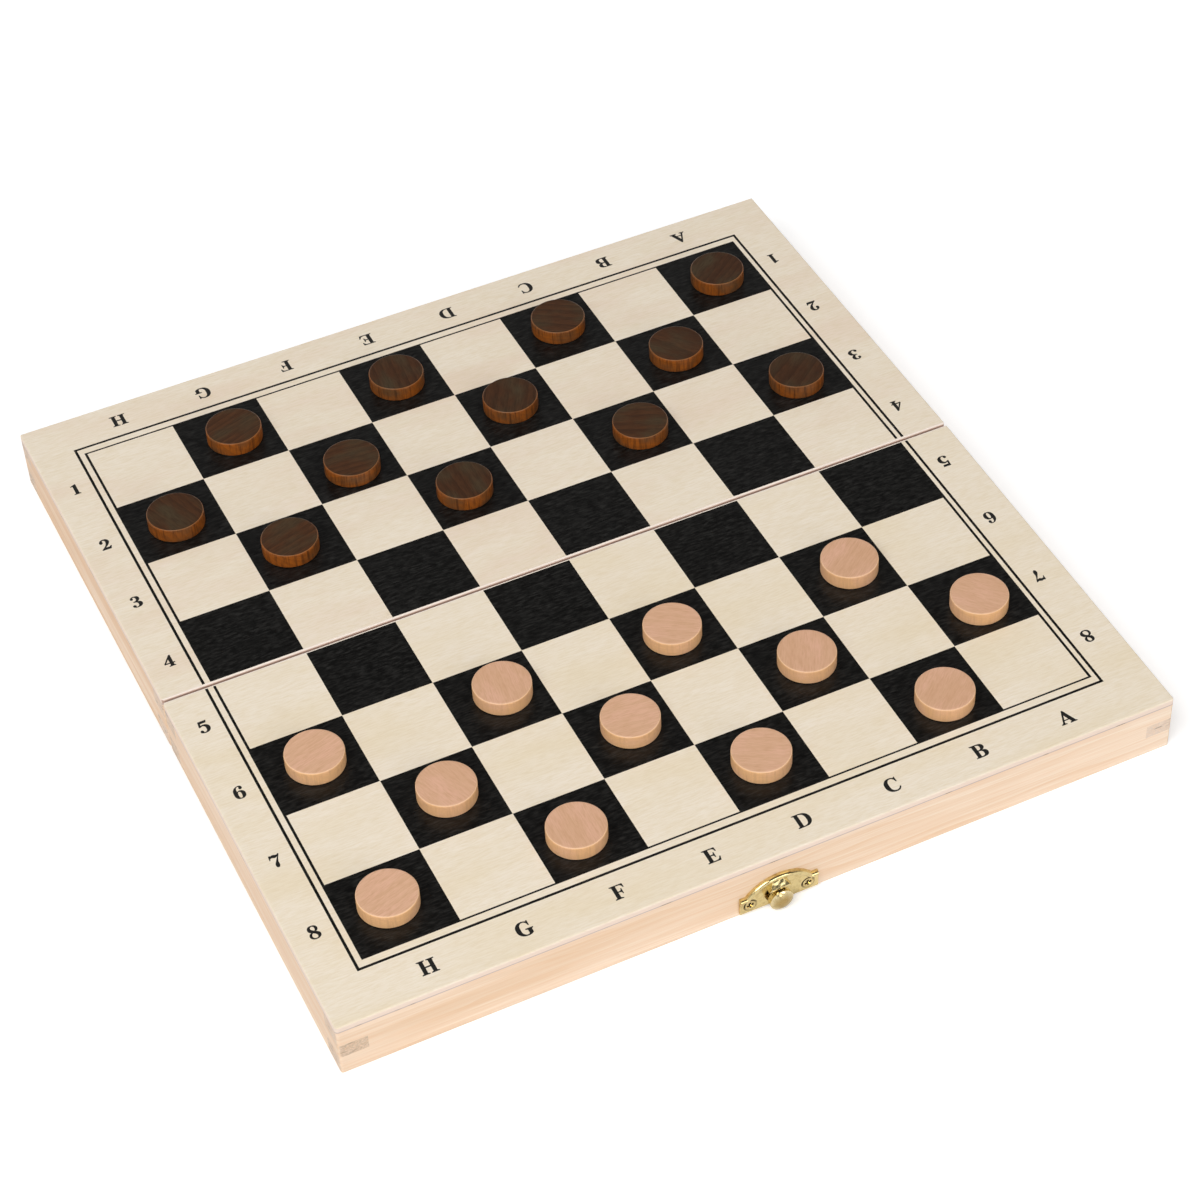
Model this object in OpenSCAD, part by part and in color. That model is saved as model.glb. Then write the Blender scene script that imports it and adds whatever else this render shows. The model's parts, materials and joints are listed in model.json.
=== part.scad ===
// Folding wooden game board with twenty-four checkers, laid open on a table.
// Two shallow trays lie face down, joined along the fold by two butt hinges.
// Their panels carry the squares. X runs along the fold, Y from the near edge
// to the far edge and Z up. The origin lies on the table under the fold.
// Each tray is drawn in its own upright frame: its rim is the plane z = 0 and
// the tray reaches towards -y. The far tray is the mirror image of the near one.

/* [Playing surface] */
// Side of one square
square = 30; // [24:0.5:36]
// Bare panel between the squares and the left or right edge
side_margin = 17.7; // [12:0.1:24]
// Bare panel between the squares and the front or back edge
end_margin = 20.2; // [16:0.1:26]
// Bare panel between the squares and the panel's edge at the fold
fold_margin = 0.35; // [0.1:0.05:1.5]
// Strip along the fold that is sanded bare of stain
fold_bare = 0.75; // [0.65:0.1:1.15]
// Depth that the black stain goes into the panel
stain_depth = 0.3; // [0.2:0.05:0.6]
// Bare wood left between the corners of two black squares
corner_gap = 0.05; // [0.02:0.01:0.2]
// How far the squares are printed to the right of the panel's middle
print_x = -0.7; // [-1:0.05:1]
// Shift of the bold line against the squares, to the right
line_x = -0.2; // [-1:0.05:1]
// Width of the fine line around the squares
fine_line_w = 0.6; // [0.4:0.1:1]
// Clear strip between the fine line and the bold line at the left and right
side_line_gap = 1.75; // [1.5:0.05:4]
// Clear strip between the fine line and the bold line at the front and back
end_line_gap = 2.4; // [1.5:0.05:4]
// Width of the bold line around the squares
bold_line_w = 0.9; // [0.5:0.1:1.5]

/* [Trays] */
// Thickness of the plywood panel
panel_t = 2.2; // [2:0.1:4]
// Height of the four rails under the panel
rail_h = 18.3; // [16:0.1:26]
// Thickness of the rails
rail_t = 9.2; // [8:0.1:12]
// Height of the middle finger of a corner joint
finger_h = 5; // [3:0.5:8]
// Height of the lowest finger of a corner joint
finger_z = 7.4; // [4:0.1:8]
// Radius on the upright corners
corner_r = 1.2; // [0.5:0.1:2.5]
// Radius on the panel's upper edges
panel_edge_r = 0.6; // [0.3:0.1:0.9]
// Radius on the rim's outer edges
rim_edge_r = 0.5; // [0.2:0.1:1]
// Space between a tray's end face and the hinge axis
fold_clearance = 0.15; // [0.1:0.05:0.5]
// Space between the two rims when the board is shut
rim_gap = 0.2; // [0.1:0.05:0.6]

/* [Hinges] */
// Distance of a hinge from the middle of the fold
hinge_x = 85; // [40:1:100]
// Length of a hinge along the fold
hinge_l = 24; // [20:1:36]
// Reach of a leaf from the axis
leaf_w = 7.6; // [6.6:0.1:8]
// Thickness of a leaf
leaf_t = 0.8; // [0.6:0.1:1.2]
// Radius of the knuckles
knuckle_r = 1.4; // [1.3:0.1:2]
// Radius of the hinge pin
pin_r = 0.7; // [0.5:0.05:0.9]
// Radial clearance between the pin and the knuckles
pin_clearance = 0.05; // [0.02:0.01:0.1]
// Side clearance between two knuckles
knuckle_gap = 0.15; // [0.1:0.05:0.4]
// Space between a knuckle and the wood or leaf it turns past
knuckle_relief = 0.25; // [0.2:0.05:0.5]
// Distance of a leaf's screws from the middle of the hinge
leaf_screw_x = 7.5; // [4:0.5:9]
// Radius of a hinge screw's head
leaf_screw_head_r = 1.4; // [1.1:0.1:1.6]
// Radius of a hinge screw's shank
leaf_screw_r = 0.7; // [0.5:0.05:0.9]
// Length of a hinge screw
leaf_screw_l = 8; // [5:0.5:12]

/* [Catch] */
// Distance of the catch to the right of the middle
catch_x = 1.6; // [-60:0.1:60]
// Distance of the knob and the hook to the right of their plates' middle
knob_x = -0.5; // [-1.5:0.1:1.5]
// Thickness of the brass plates
plate_t = 0.8; // [0.6:0.1:1.2]
// Width of a brass plate
plate_w = 26; // [25:0.5:30]
// Height of the half-round part of a plate
arch_h = 12.8; // [12.5:0.1:14]
// Height of the square ears of a plate
ear_h = 7.6; // [7.3:0.1:8]
// Width of an ear beside the half-round part
ear_w = 2; // [1:0.1:3]
// Space between a plate's straight edge and the rim
plate_inset = 1.1; // [0.2:0.1:1.4]
// Radius of the rolled edge along the half-round
bead_r = 0.8; // [0.5:0.05:1]
// Space between the rolled edge and the plate's outline
bead_inset = 0.15; // [0.1:0.05:0.5]
// Distance of a plate screw from the side edge of the plate
plate_screw_edge = 3.4; // [3:0.1:4]
// Height of the plate screws above the rim
plate_screw_z = 3.9; // [3.4:0.1:3.9]
// Radius of a plate screw's head
plate_screw_head_r = 2; // [1.6:0.1:2.2]
// Radius of a plate screw's shank
plate_screw_r = 1.1; // [0.8:0.05:1.3]
// Length of a plate screw
plate_screw_l = 7; // [5:0.5:8]
// Height of the knob's axis above the rim
knob_z = 4.1; // [4:0.05:4.3]
// Radius of the knob's head
knob_r = 3.8; // [3.2:0.1:3.8]
// Length of the knob's head
knob_l = 3.1; // [2:0.1:4]
// Height of the knob's domed front
knob_dome = 1.4; // [0.5:0.1:1.6]
// Radius of the knob's neck
neck_r = 1.3; // [1:0.05:1.4]
// Space between the knob's head and the hood's mouth
hood_gap = 0.4; // [0.3:0.05:0.6]
// Height of the hood
hood_h = 2.4; // [1.5:0.1:2.6]
// Width of the hood at its mouth
hood_w = 7.4; // [4:0.1:8]
// Width of the hood at its top
hood_top_w = 3.4; // [2:0.1:4]
// Reach of the hood's mouth from the plate
hood_out = 1.9; // [1:0.1:2.2]
// Wall of the hood
hood_wall = 0.4; // [0.3:0.05:0.6]
// Height of the hook's pivot above the rim
pivot_z = 6.6; // [6.4:0.1:7]
// Radius of the pivot rivet
rivet_r = 1.2; // [0.9:0.05:1.4]
// Radius of the rivet's head
rivet_head_r = 2.3; // [1.8:0.1:2.8]
// Thickness of the rivet's head
rivet_head_t = 0.7; // [0.4:0.1:1.2]
// Radius of the hook's round end
hook_eye_r = 3; // [2.6:0.1:3.2]
// Thickness of the hook
hook_t = 0.6; // [0.5:0.1:1]
// Width of the hook's jaw beyond the knob's neck
jaw_w = 1.1; // [0.8:0.05:1.2]
// Space between the hook and the knob's neck
hook_clearance = 0.2; // [0.1:0.05:0.3]
// Space between the hook and the faces beside it
hook_side_gap = 0.2; // [0.15:0.05:0.4]

/* [Checkers] */
// Diameter of a checker
checker_d = 18.5; // [14:0.1:22]
// Thickness of a checker
checker_t = 5.4; // [4:0.1:10]
// Radius on a checker's edges
checker_edge_r = 0.6; // [0.2:0.1:1.5]

/* [Hidden] */
files = 8;
rows_per_tray = 4;
set_size = 12;
set_columns = files / 2;
knuckles = 5;
// Radial clearance around screws, rivets and tails
fit = 0.05;
// Space between a hinge leaf and the sides of its mortise
wood_fit = 0.1;
// Depth of a knob's or rivet's tail in the wood
tail_l = 4;
// Height of the straight rim of a screw's head
head_land = 0.1;
// How far a cut runs past the face that it opens
over = 0.5;

grid_w = files * square;
grid_d = rows_per_tray * square;
half_w = grid_w / 2 + side_margin;
grid_edge = fold_clearance + fold_margin;
half_d = grid_edge + grid_d + end_margin;
half_h = rail_h + panel_t;
axis_z = -rim_gap / 2;
// Turn of each tray that brings its outer rim down to the table while the
// knuckles stand on it
rim_arm = norm([half_d - rim_edge_r, rim_edge_r - axis_z]);
droop = asin((knuckle_r - rim_edge_r) / rim_arm)
      + atan2(rim_edge_r - axis_z, half_d - rim_edge_r);
segment_l = hinge_l / knuckles;
leaf_screw_y = (leaf_w + knuckle_r + knuckle_relief) / 2;
face_y = -half_d - plate_t;
arch_half_w = plate_w / 2 - ear_w;
bead_ear_l = ear_w + bead_r;
arch_rise = arch_h - ear_h;
arch_r = (arch_half_w * arch_half_w + arch_rise * arch_rise) / (2 * arch_rise);
plate_screw_x = plate_w / 2 - plate_screw_edge;
knob_at = catch_x + knob_x;
mouth_z = knob_z + knob_r + hood_gap;
neck_l = hook_t + 2 * hook_side_gap;
reach = pivot_z + rim_gap + knob_z;
slot_half = neck_r + hook_clearance;

// How far each checker sits from the middle of its square, row by row from
// the near edge and left to right, as the players' hands left them
light_nudge = [
    [-1.1, -0.2], [-1.9, -1.8], [-0.2, -0.3], [0.9, -3.5],
    [0.7, 0.6], [1.1, 0.4], [1.1, -0.2], [0.6, -2.9],
    [0.6, 0.5], [2.2, 0.7], [-0.5, -0.5], [2.2, -0.1]
];
dark_nudge = [
    [-1.7, 0], [-1.4, -1.5], [2.1, -1.7], [-0.2, -3.1],
    [-0.2, -1.4], [0.3, -3.8], [-0.7, 0.5], [0.2, -1.5],
    [1.5, -0.7], [0.2, -0.3], [0.9, 0.9], [1, -1.4]
];

panel_col = "#EADFC8";
stain_col = "#1D1C1B";
rail_col = "#EFD2B0";
brass_col = "#D9B860";
light_col = "#DDB693";
dark_col = "#6B3F22";

light_names = [for (i = [1 : set_size]) str("light_checker_", i)];
dark_names = [for (i = [1 : set_size]) str("dark_checker_", i)];

// A tray's frame turned down about the hinge axis by the droop
module near_tray() {
    translate([0, 0, knuckle_r])
        rotate([droop, 0, 0])
            translate([0, 0, -axis_z]) children();
}

module far_tray() {
    mirror([0, 1, 0]) near_tray() children();
}

// Rectangle with round corners, centred
module round_rect(w, h, r) {
    square([w - 2 * r, h], center = true);
    square([w, h - 2 * r], center = true);
    for (sx = [-1, 1], sy = [-1, 1])
        translate([sx * (w / 2 - r), sy * (h / 2 - r)]) circle(r = r, $fn = 48);
}

// Block on z = 0 with round upright corners and a radius on its upper edges
module soft_block(w, d, h, upright_r, top_r) {
    intersection() {
        linear_extrude(h) round_rect(w, d, upright_r);
        translate([0, d / 2, 0]) rotate([90, 0, 0]) linear_extrude(d)
            round_rect(w, 2 * h, top_r);
        translate([-w / 2, 0, 0]) rotate([90, 0, 90]) linear_extrude(w)
            round_rect(d, 2 * h, top_r);
    }
}

// The panel before the stain, its edges flush with the rails
module panel_blank() {
    depth = half_d - fold_clearance;
    translate([0, -fold_clearance - depth / 2, rail_h])
        soft_block(2 * half_w, depth, panel_t, corner_r, panel_edge_r);
}

// Outside of the four rails, its lower edges eased
module rail_skin() {
    depth = half_d - fold_clearance;
    translate([0, -fold_clearance - depth / 2, rail_h])
        mirror([0, 0, 1]) soft_block(2 * half_w, depth, rail_h, corner_r, rim_edge_r);
}

// A U-shaped line around the squares, open at the fold, side beside them and
// end before them
module line_around(side, end, w) {
    difference() {
        translate([-grid_w / 2 - side - w, -grid_edge - grid_d - end - w])
            square([grid_w + 2 * (side + w), grid_edge + grid_d + end + w]);
        translate([-grid_w / 2 - side, -grid_edge - grid_d - end])
            square([grid_w + 2 * side, grid_edge + grid_d + end + over]);
    }
}

// Black squares and the two lines up to the bare strip at the fold; parity says
// which squares are black
module stain_plan(parity) {
    intersection() {
        full_print(parity);
        translate([-half_w, -half_d])
            square([2 * half_w, half_d - fold_clearance - fold_bare]);
    }
}

module full_print(parity) {
    for (i = [0 : files - 1], j = [0 : rows_per_tray - 1])
        if ((i + j) % 2 == parity)
            translate([print_x + i * square - grid_w / 2 + corner_gap / 2,
                       -grid_edge - (j + 1) * square + corner_gap / 2])
                square(square - corner_gap);
    translate([print_x, 0])
        line_around(-corner_gap, -corner_gap, fine_line_w + corner_gap);
    translate([print_x + line_x, 0])
        line_around(fine_line_w + side_line_gap, fine_line_w + end_line_gap, bold_line_w);
}

module stain(parity) {
    intersection() {
        panel_blank();
        translate([0, 0, half_h - stain_depth])
            linear_extrude(stain_depth + over) stain_plan(parity);
    }
}

module stained_panel(parity) {
    color(panel_col)
        difference() {
            panel_blank();
            translate([0, 0, half_h - stain_depth])
                linear_extrude(stain_depth + over) stain_plan(parity);
        }
}

// A rail that runs along X, from y0 to y0 + rail_t, notched for the side rails'
// middle fingers
module long_rail(y0) {
    difference() {
        intersection() {
            rail_skin();
            translate([-half_w, y0, 0]) cube([2 * half_w, rail_t, rail_h]);
        }
        for (s = [-1, 1])
            translate([s * (half_w - rail_t / 2 + over / 2), y0 + rail_t / 2,
                       finger_z + finger_h / 2])
                cube([rail_t + over, rail_t + 2 * over, finger_h], center = true);
    }
}

// Side view of a side rail, with the depth to the right and z up
module side_rail_outline() {
    inner_l = half_d - fold_clearance - 2 * rail_t;
    translate([fold_clearance + rail_t, 0]) square([inner_l, rail_h]);
    translate([fold_clearance, finger_z]) square([inner_l + 2 * rail_t, finger_h]);
}

// A rail that runs along Y, its middle fingers let into the long rails
module side_rail(s) {
    color(rail_col)
        intersection() {
            rail_skin();
            translate([s * (half_w - rail_t / 2), 0, 0])
                rotate([90, 0, -90]) translate([0, 0, -rail_t / 2]) linear_extrude(rail_t)
                    side_rail_outline();
        }
}

// Outer rail with the pilot holes of a plate's screws and tail
module outer_rail(tail_r, tail_z) {
    color(rail_col)
        difference() {
            long_rail(-half_d);
            at_plate_screws() translate([0, 0, plate_t])
                screw_seat(plate_screw_head_r, plate_screw_r, plate_screw_l);
            translate([knob_at, -half_d, tail_z]) rotate([90, 0, 0])
                pilot(tail_r, tail_l);
        }
}

// Rail at the fold with the leaves' mortises and room for the knuckles
module fold_rail() {
    color(rail_col)
        difference() {
            long_rail(-fold_clearance - rail_t);
            for (s = [-1, 1]) translate([s * hinge_x, 0, 0]) {
                translate([-hinge_l / 2 - wood_fit, -leaf_w - wood_fit, -over])
                    cube([hinge_l + 2 * wood_fit, leaf_w + wood_fit, leaf_t + over]);
                translate([0, 0, axis_z]) rotate([0, 90, 0])
                    cylinder(r = knuckle_r + knuckle_relief, h = hinge_l + 2 * wood_fit,
                             center = true, $fn = 64);
                at_leaf_screws() pilot(leaf_screw_r, leaf_screw_l);
            }
        }
}

// Blind hole down from z = 0 with room around a shank of radius r
module pilot(r, l) {
    translate([0, 0, -l - fit]) cylinder(r = r + fit, h = l + fit + over, $fn = 48);
}

// Countersunk screw with a cross recess; its head lies on z = 0 and it points down
module cross_screw(head_r, shank_r, l) {
    slot_l = 1.2 * head_r;
    slot_w = head_r / 4;
    slot_depth = (head_r - shank_r) / 2;
    difference() {
        rotate_extrude($fn = 48)
            polygon([[0, 0], [head_r, 0], [head_r, -head_land],
                     [shank_r, shank_r - head_r - head_land],
                     [shank_r, 2 * shank_r - l], [0, -l]]);
        for (a = [30, 120]) rotate([0, 0, a])
            cube([slot_l, slot_w, 2 * slot_depth], center = true);
    }
}

// Countersunk hole of depth l for such a screw
module screw_seat(head_r, shank_r, l) {
    rotate_extrude($fn = 48)
        polygon([[0, over], [head_r + fit, over], [head_r + fit, -head_land],
                 [shank_r + fit, shank_r - head_r - head_land],
                 [shank_r + fit, -l - fit], [0, -l - fit]]);
}

// Places on a tray's outer plate, with z pointing out of the face
module at_plate_screws() {
    for (s = [-1, 1])
        translate([catch_x + s * plate_screw_x, -half_d, plate_screw_z])
            rotate([90, 0, 0]) children();
}

// Places on a hinge leaf, with z pointing out of the rim
module at_leaf_screws() {
    for (s = [-1, 1])
        translate([s * leaf_screw_x, -leaf_screw_y, 0]) rotate([180, 0, 0]) children();
}

// One leaf at x = 0; its knuckles are the even or the odd ones
module leaf(odd) {
    difference() {
        union() {
            translate([-hinge_l / 2, -leaf_w, 0]) cube([hinge_l, leaf_w, leaf_t]);
            for (k = [odd : 2 : knuckles - 1])
                translate([(k + 0.5) * segment_l - hinge_l / 2, 0, axis_z]) rotate([0, 90, 0])
                    cylinder(r = knuckle_r, h = segment_l - knuckle_gap, center = true,
                             $fn = 64);
        }
        translate([0, 0, axis_z]) rotate([0, 90, 0])
            cylinder(r = pin_r + pin_clearance, h = hinge_l + 2 * over, center = true, $fn = 48);
        for (k = [1 - odd : 2 : knuckles - 1])
            translate([k * segment_l - hinge_l / 2 - knuckle_gap / 2,
                       -knuckle_r - knuckle_relief, -over])
                cube([segment_l + knuckle_gap, knuckle_r + knuckle_relief + over,
                      leaf_t + 2 * over]);
        at_leaf_screws() screw_seat(leaf_screw_head_r, leaf_screw_r, leaf_screw_l);
    }
}

module hinge_leaf(s, odd) {
    color(brass_col) translate([s * hinge_x, 0, 0]) leaf(odd);
}

module hinge_pin(s) {
    color(brass_col)
        translate([s * hinge_x, 0, axis_z]) rotate([0, 90, 0])
            cylinder(r = pin_r, h = hinge_l, center = true, $fn = 48);
}

module hinge_screws() {
    color(brass_col)
        for (s = [-1, 1]) translate([s * hinge_x, 0, 0])
            at_leaf_screws() cross_screw(leaf_screw_head_r, leaf_screw_r, leaf_screw_l);
}

// Turns an outline drawn with x to the right and y up into a plate of
// thickness t whose back lies at y = y_back
module upright(y_back, t) {
    translate([catch_x, y_back, 0]) rotate([90, 0, 0]) linear_extrude(t) children();
}

// Half-round with square ears
module plate_outline() {
    intersection() {
        translate([0, arch_h - arch_r]) circle(r = arch_r, $fn = 128);
        translate([-arch_half_w, plate_inset]) square([2 * arch_half_w, arch_h]);
    }
    translate([-plate_w / 2, plate_inset]) square([plate_w, ear_h - plate_inset]);
}

// A brass plate with its screw seats and the hole of its middle rivet
module plate(tail_r, tail_z) {
    difference() {
        upright(-half_d, plate_t) plate_outline();
        at_plate_screws() translate([0, 0, plate_t])
            screw_seat(plate_screw_head_r, plate_screw_r, plate_screw_l);
        translate([knob_at, -half_d, tail_z]) rotate([90, 0, 0])
            cylinder(r = tail_r + fit, h = 4 * plate_t, center = true, $fn = 48);
    }
}

// Rolled edge along the half-round and along the tops of the ears
module bead() {
    half_arc = asin(arch_half_w / arch_r);
    translate([catch_x, face_y, arch_h - arch_r]) rotate([90, 0, 0])
        rotate([0, 0, 90 - half_arc]) rotate_extrude(angle = 2 * half_arc, $fn = 128)
            translate([arch_r - bead_inset - bead_r, 0]) bead_profile();
    for (s = [-1, 1])
        translate([catch_x + s * ((plate_w - bead_ear_l) / 2 - bead_inset), face_y,
                   ear_h - bead_inset - bead_r])
            rotate([90, 0, 90]) linear_extrude(bead_ear_l, center = true)
                rotate(90) bead_profile();
}

// Section of the rolled edge, sunk halfway into the plate, y pointing out of it
module bead_profile() {
    intersection() {
        circle(r = bead_r, $fn = 32);
        translate([-bead_r, -plate_t / 2]) square([2 * bead_r, plate_t / 2 + bead_r]);
    }
}

// Stamped hood over the knob, open towards the rim
module hood() {
    difference() {
        hood_form(mouth_z, plate_t / 2, hood_w, hood_top_w, hood_out, hood_h);
        hood_form(mouth_z - over, 0, hood_w - 2 * hood_wall, hood_top_w - 2 * hood_wall,
                  hood_out - hood_wall, hood_h - hood_wall + over);
    }
}

// A tapered wedge that starts the distance behind inside the plate: it is w
// wide and stands out by out at its foot z0, and narrows and sinks towards its top
module hood_form(z0, behind, w, top_w, out, h) {
    intersection() {
        translate([knob_at, face_y + behind, z0]) rotate([90, 0, 0])
            linear_extrude(behind + out)
                polygon([[-w / 2, 0], [w / 2, 0], [top_w / 2, h], [-top_w / 2, h]]);
        translate([knob_at - w / 2, face_y, z0]) rotate([90, 0, 90]) linear_extrude(w)
            polygon([[behind, 0], [-out, 0], [-out, h / 3], [0, h], [behind, h]]);
    }
}

module knob_plate() {
    color(brass_col) {
        plate(neck_r, knob_z);
        hood();
        difference() {
            bead();
            at_plate_screws()
                cylinder(r = plate_screw_head_r + fit, h = plate_t + 2 * bead_r, $fn = 48);
        }
    }
}

// Turned knob: a tail in the wood, a neck for the hook and a broad domed head
module knob() {
    color(brass_col)
        translate([knob_at, -half_d, knob_z]) rotate([90, 0, 0])
            rotate_extrude($fn = 64) {
                translate([0, -tail_l]) square([neck_r, tail_l + plate_t + neck_l + knob_l / 2]);
                translate([0, plate_t + neck_l]) knob_head();
            }
}

// Half section of the knob's head, a short cylinder with a domed front
module knob_head() {
    dome_r = (knob_r * knob_r + knob_dome * knob_dome) / (2 * knob_dome);
    intersection() {
        square([knob_r, knob_l]);
        translate([0, knob_l - dome_r]) circle(r = dome_r, $fn = 128);
    }
}

module plate_screws() {
    color(brass_col)
        at_plate_screws() translate([0, 0, plate_t])
            cross_screw(plate_screw_head_r, plate_screw_r, plate_screw_l);
}

module hook_plate() {
    color(brass_col) plate(rivet_r, pivot_z);
}

// Rivet that carries the hook a little way off its plate
module hook_rivet() {
    gap = plate_t + hook_side_gap;
    color(brass_col)
        translate([knob_at, -half_d, pivot_z]) rotate([90, 0, 0])
            rotate_extrude($fn = 48)
                polygon([[0, -tail_l], [rivet_r, -tail_l], [rivet_r, gap + hook_t + fit],
                         [rivet_head_r, gap + hook_t + fit],
                         [rivet_head_r, gap + hook_t + fit + rivet_head_t / 2],
                         [rivet_head_r - rivet_head_t / 2, gap + hook_t + fit + rivet_head_t],
                         [0, gap + hook_t + fit + rivet_head_t]]);
}

// Hook outline about its pivot, reaching down; its mouth opens to the left
module hook_outline() {
    difference() {
        union() {
            circle(r = hook_eye_r, $fn = 64);
            intersection() {
                circle(r = reach + slot_half + jaw_w, $fn = 160);
                union() {
                    translate([-hook_eye_r / 3, -2 * reach])
                        square([hook_eye_r * 4 / 3, 2 * reach]);
                    translate([-hook_eye_r, -2 * reach])
                        square([2 * hook_eye_r, reach]);
                }
            }
        }
        neck_slot();
        circle(r = rivet_r + fit, $fn = 48);
    }
}

// The way that the knob's neck takes into the hook as the hook turns
module neck_slot() {
    translate([0, -reach]) circle(r = slot_half, $fn = 64);
    intersection() {
        difference() {
            circle(r = reach + slot_half, $fn = 160);
            circle(r = reach - slot_half, $fn = 160);
        }
        translate([-2 * reach, -2 * reach]) square([2 * reach, 2 * reach]);
    }
}

// The hook in its place with the board open, turned aside along its plate
module hook() {
    y_back = -half_d - plate_t - hook_side_gap;
    color(brass_col)
        translate([knob_at, y_back, pivot_z]) rotate([90, 0, 0]) linear_extrude(hook_t)
            rotate(90) hook_outline();
}

// One checker on z = 0
module checker(col) {
    color(col)
        rotate_extrude($fn = 96)
            intersection() {
                translate([0, checker_t / 2])
                    round_rect(checker_d, checker_t, checker_edge_r);
                square([checker_d, checker_t]);
            }
}

// Middle of the square that holds checker i; shift is 0 where the first row
// starts on the leftmost square and 1 where it starts on the next one
function checker_x(i, shift) =
    let (row = floor(i / set_columns), column = i % set_columns)
        print_x + (2 * column + (row + shift) % 2 + 0.5) * square - grid_w / 2;

module light_checker(i) {
    row = floor(i / set_columns);
    near_tray()
        translate([checker_x(i, 0) + light_nudge[i][0],
                   -grid_edge - grid_d + (row + 0.5) * square + light_nudge[i][1], half_h])
            checker(light_col);
}

module dark_checker(i) {
    row = floor(i / set_columns);
    far_tray()
        translate([checker_x(i, 1) + dark_nudge[i][0],
                   -grid_edge - (row + 1.5) * square - dark_nudge[i][1], half_h])
            checker(dark_col);
}

near_tray() stained_panel(1);  // near_panel
near_tray() color(stain_col) stain(1);  // near_squares
near_tray() outer_rail(neck_r, knob_z);  // near_front_rail
near_tray() fold_rail();  // near_fold_rail
near_tray() side_rail(-1);  // near_left_rail
near_tray() side_rail(1);  // near_right_rail
far_tray() stained_panel(0);  // far_panel
far_tray() color(stain_col) stain(0);  // far_squares
far_tray() outer_rail(rivet_r, pivot_z);  // far_back_rail
far_tray() fold_rail();  // far_fold_rail
far_tray() side_rail(-1);  // far_left_rail
far_tray() side_rail(1);  // far_right_rail
near_tray() hinge_leaf(-1, 0);  // left_hinge_near_leaf
far_tray() hinge_leaf(-1, 1);  // left_hinge_far_leaf
near_tray() hinge_pin(-1);  // left_hinge_pin
near_tray() hinge_leaf(1, 0);  // right_hinge_near_leaf
far_tray() hinge_leaf(1, 1);  // right_hinge_far_leaf
near_tray() hinge_pin(1);  // right_hinge_pin
near_tray() hinge_screws();  // near_hinge_screws
far_tray() hinge_screws();  // far_hinge_screws
near_tray() knob_plate();
near_tray() knob();
near_tray() plate_screws();  // knob_plate_screws
far_tray() hook_plate();
far_tray() hook_rivet();
far_tray() hook();
far_tray() plate_screws();  // hook_plate_screws
for (i = [0 : set_size - 1])
    light_checker(i);
for (i = [0 : set_size - 1])
    dark_checker(i);
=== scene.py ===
import json
import math

import bmesh
import bpy
from mathutils import Euler, Matrix, Vector

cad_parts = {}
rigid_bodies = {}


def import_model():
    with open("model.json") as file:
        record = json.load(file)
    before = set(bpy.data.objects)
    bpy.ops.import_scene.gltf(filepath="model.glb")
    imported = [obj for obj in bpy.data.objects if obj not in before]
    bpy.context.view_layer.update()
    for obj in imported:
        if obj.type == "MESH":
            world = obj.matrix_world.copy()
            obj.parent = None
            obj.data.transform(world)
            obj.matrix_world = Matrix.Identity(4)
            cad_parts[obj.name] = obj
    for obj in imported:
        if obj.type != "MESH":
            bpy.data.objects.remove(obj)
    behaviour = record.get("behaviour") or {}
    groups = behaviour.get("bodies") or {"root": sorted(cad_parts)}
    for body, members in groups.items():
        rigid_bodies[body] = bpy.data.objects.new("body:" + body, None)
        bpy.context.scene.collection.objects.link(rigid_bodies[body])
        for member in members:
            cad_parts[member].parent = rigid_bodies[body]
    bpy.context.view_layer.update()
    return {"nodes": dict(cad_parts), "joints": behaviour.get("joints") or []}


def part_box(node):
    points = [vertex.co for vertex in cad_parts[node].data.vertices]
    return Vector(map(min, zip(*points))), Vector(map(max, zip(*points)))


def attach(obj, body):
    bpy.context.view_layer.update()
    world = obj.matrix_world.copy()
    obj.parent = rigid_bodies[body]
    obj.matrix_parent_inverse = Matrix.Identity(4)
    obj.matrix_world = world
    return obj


bl_info = {
    "name": "Folding game board",
    "version": (1, 0, 0),
    "blender": (4, 5, 0),
    "location": "3D View > Sidebar > Game board",
    "description": "Dresses a folding wooden game board and its checkers",
    "category": "Object",
}

MM = 0.001

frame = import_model()
NODES = frame["nodes"]
FOLD_Z = next(j["pos_m"][2] for j in frame["joints"] if j["name"] == "fold")
HOOK_AXIS = next(j["axis"] for j in frame["joints"] if j["name"] == "hook_swing")
# Each half droops by this angle from the fold to its outer edge
DROOP = math.atan2(-HOOK_AXIS[2], HOOK_AXIS[1])
# Half of the gap between the two rims when the board is shut
HALF_RIM_GAP = 0.1 * MM
# Middle of the printed squares along X
PRINT_X = -0.7 * MM
# Side of a square, half of the width of the squares together, and the strip between the
# fold and the first row
SQUARE = 30 * MM
GRID = 4 * SQUARE
FOLD_STRIP = 0.5 * MM
# Width of the fine rule round the squares, and how far from the fold the extra ink
# beside it starts
RULE_WIDTH = 0.6 * MM
RULE_START = 0.95 * MM
# Middle of both catch plates, and their screws' places from it, in millimetres on a half
CATCH_X = 1.6
PLATE_SCREW_X = 9.6
PLATE_SCREW_Z = 4
# A sunk head's radius, the width of the dark ring at its rim, and the reach and width of
# the arms of its cross, in millimetres
HEAD_RADIUS = 2
HEAD_RING = 0.6
CROSS_REACH = 1.2
CROSS_ARM = 0.5
# The camera, solved from the corners of the squares: its place in metres, its right, up
# and back directions as columns, and its shift as a share of the picture's width
CAMERA_PLACE = (-0.281206, -0.686462, 0.729719)
CAMERA_TURN = Matrix(((0.8955213714, 0.3298438398, -0.2987388040),
                      (-0.4444981610, 0.6305093336, -0.6363013163),
                      (-0.0215224652, 0.7026101491, 0.7112494371))).to_euler()
CAMERA_SHIFT = (-0.07415, 0.03832)
SENSOR_WIDTH = 36
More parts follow.
